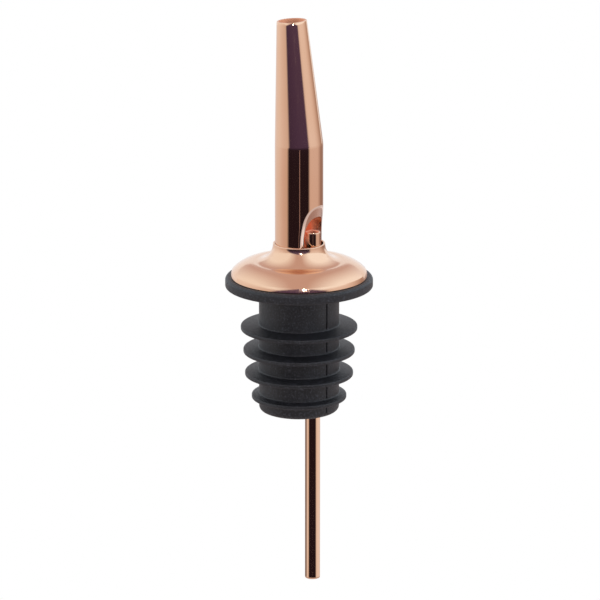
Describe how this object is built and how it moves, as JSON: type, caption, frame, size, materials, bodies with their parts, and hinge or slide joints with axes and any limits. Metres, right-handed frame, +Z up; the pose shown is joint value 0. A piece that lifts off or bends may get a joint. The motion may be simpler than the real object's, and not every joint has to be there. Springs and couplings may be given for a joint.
{
  "type": "pour spout",
  "caption": "Tapered metal pouring spout on a domed collar, with a pressed-in air vent and a long breather tube, set in a finned rubber stopper for a bottle's neck.",
  "frame": {"origin": "centre of the flange's underside, where the stopper rests on the bottle's lip", "axes": "+Z up along the stopper and the straight part of the spout, +Y towards the side that the tip leans to, -Y towards the vent"},
  "size_m": [0.032, 0.032, 0.1244],
  "materials": {
    "copper_plate": "mirror-bright copper plating on steel",
    "solder": "dull tin solder, as it set",
    "rubber": "moulded black rubber, fine matte grain"
  },
  "bodies": {
    "stopper": {"stopper": "rubber"},
    "pourer": {"stem_tube": "copper_plate", "dome_collar": "copper_plate", "spout_tube": "copper_plate", "breather_tube": "copper_plate", "vent_solder": "solder"}
  },
  "joints": [
    {"name": "pull_out", "type": "slide", "parent": "stopper", "child": "pourer", "axis": [0, 0, 1], "range_m": [0, 0.07]}
  ]
}
